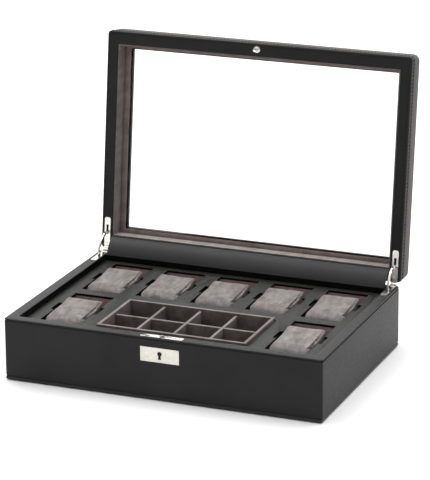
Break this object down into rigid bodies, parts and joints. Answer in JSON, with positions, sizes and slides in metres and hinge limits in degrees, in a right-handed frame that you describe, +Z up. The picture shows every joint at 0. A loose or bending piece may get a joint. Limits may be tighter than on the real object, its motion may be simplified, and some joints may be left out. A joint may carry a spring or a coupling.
{
  "type": "watch box",
  "caption": "Leather-wrapped box with a hinged glass lid on curved stays, lift-out watch cushions in notched wells, a divided lift-out tray and a key lock.",
  "frame": {"origin": "centre of the underside, on the surface it stands on", "axes": "+X to the right along the width, -Y towards the lock side, +Z up; the lid hinges on the +Y side and is stored open"},
  "size_m": [0.34, 0.2965, 0.3026],
  "materials": {
    "leather": "black pebbled leather, saddle-stitched along the lid",
    "felt": "black felt under the base",
    "board": "plain fibreboard, covered in use",
    "well_suede": "taupe suede lining",
    "cushion_suede": "padded taupe suede with a sewn seam",
    "tray_suede": "taupe suede lining with a short nap",
    "lid_suede": "taupe suede lining",
    "glass": "clear polished glass",
    "nickel": "polished nickel plate",
    "lock_steel": "plain pressed steel"
  },
  "bodies": {
    "base": {"underside_felt": "felt", "base_plate": "leather", "bottom_board": "board", "front_wall": "leather", "back_wall": "leather", "left_wall": "leather", "right_wall": "leather", "well_floor": "well_suede", "back_wells_rear_board": "well_suede", "back_wells_front_board": "well_suede", "front_wells_rear_boards": "well_suede", "front_wells_front_boards": "well_suede", "back_cross_boards": "well_suede", "front_cross_boards": "well_suede", "well_end_boards": "well_suede", "tray_bearers": "board", "deck_panel": "leather", "keyhole_plate": "nickel", "strike_plate": "nickel", "lock_case": "lock_steel", "left_base_leaf": "nickel", "right_base_leaf": "nickel", "left_hinge_pin": "nickel", "right_hinge_pin": "nickel", "base_hinge_screws": "nickel", "hinge_flap": "leather"},
    "lid": {"lid_front_rail": "leather", "lid_back_rail": "leather", "lid_left_rail": "leather", "lid_right_rail": "leather", "lid_top_frame": "leather", "lid_glass": "glass", "glass_retainer": "lid_suede", "lid_side_linings": "lid_suede", "lid_stud": "nickel", "left_lid_leaf": "nickel", "right_lid_leaf": "nickel", "lid_hinge_screws": "nickel"},
    "stays": {"left_stay": "nickel", "right_stay": "nickel"},
    "cushion_back_1": {"cushion_back_1": "cushion_suede"},
    "cushion_back_2": {"cushion_back_2": "cushion_suede"},
    "cushion_back_3": {"cushion_back_3": "cushion_suede"},
    "cushion_back_4": {"cushion_back_4": "cushion_suede"},
    "cushion_back_5": {"cushion_back_5": "cushion_suede"},
    "cushion_front_left": {"cushion_front_left": "cushion_suede"},
    "cushion_front_right": {"cushion_front_right": "cushion_suede"},
    "tray": {"tray_floor": "tray_suede", "tray_front_wall": "tray_suede", "tray_back_wall": "tray_suede", "tray_left_wall": "tray_suede", "tray_right_wall": "tray_suede", "tray_long_divider": "tray_suede", "tray_cross_dividers": "tray_suede"},
    "cam": {"lock_cam": "lock_steel"},
    "bolt": {"lock_bolt": "lock_steel"}
  },
  "joints": [
    {"name": "lid_hinge", "type": "hinge", "parent": "base", "child": "lid", "pos_m": [0, 0.1202, 0.0662], "axis": [-1, 0, 0], "range_deg": [-97, 0], "deforming": ["hinge_flap"]},
    {"name": "stay_swing", "type": "hinge", "parent": "base", "child": "stays", "pos_m": [0, 0.1202, 0.0662], "axis": [-1, 0, 0], "range_deg": [-48.5, 0]},
    {"name": "cushion_back_1_lift", "type": "slide", "parent": "base", "child": "cushion_back_1", "axis": [0, 0, 1], "range_m": [0, 0.08]},
    {"name": "cushion_back_2_lift", "type": "slide", "parent": "base", "child": "cushion_back_2", "axis": [0, 0, 1], "range_m": [0, 0.08]},
    {"name": "cushion_back_3_lift", "type": "slide", "parent": "base", "child": "cushion_back_3", "axis": [0, 0, 1], "range_m": [0, 0.08]},
    {"name": "cushion_back_4_lift", "type": "slide", "parent": "base", "child": "cushion_back_4", "axis": [0, 0, 1], "range_m": [0, 0.08]},
    {"name": "cushion_back_5_lift", "type": "slide", "parent": "base", "child": "cushion_back_5", "axis": [0, 0, 1], "range_m": [0, 0.08]},
    {"name": "cushion_front_left_lift", "type": "slide", "parent": "base", "child": "cushion_front_left", "axis": [0, 0, 1], "range_m": [0, 0.08]},
    {"name": "cushion_front_right_lift", "type": "slide", "parent": "base", "child": "cushion_front_right", "axis": [0, 0, 1], "range_m": [0, 0.08]},
    {"name": "tray_lift", "type": "slide", "parent": "base", "child": "tray", "axis": [0, 0, 1], "range_m": [0, 0.05]},
    {"name": "key_turn", "type": "hinge", "parent": "base", "child": "cam", "pos_m": [0, -0.113, 0.0501], "axis": [0, 1, 0], "range_deg": [0, 90]},
    {"name": "bolt_slide", "type": "slide", "parent": "base", "child": "bolt", "axis": [1, 0, 0], "range_m": [0, 0.00452]}
  ],
  "couplings": [
    {"joint": "stay_swing", "follows": "lid_hinge", "ratio": 0.5},
    {"joint": "key_turn", "follows": "bolt_slide", "rad_per_m": 347.07}
  ]
}
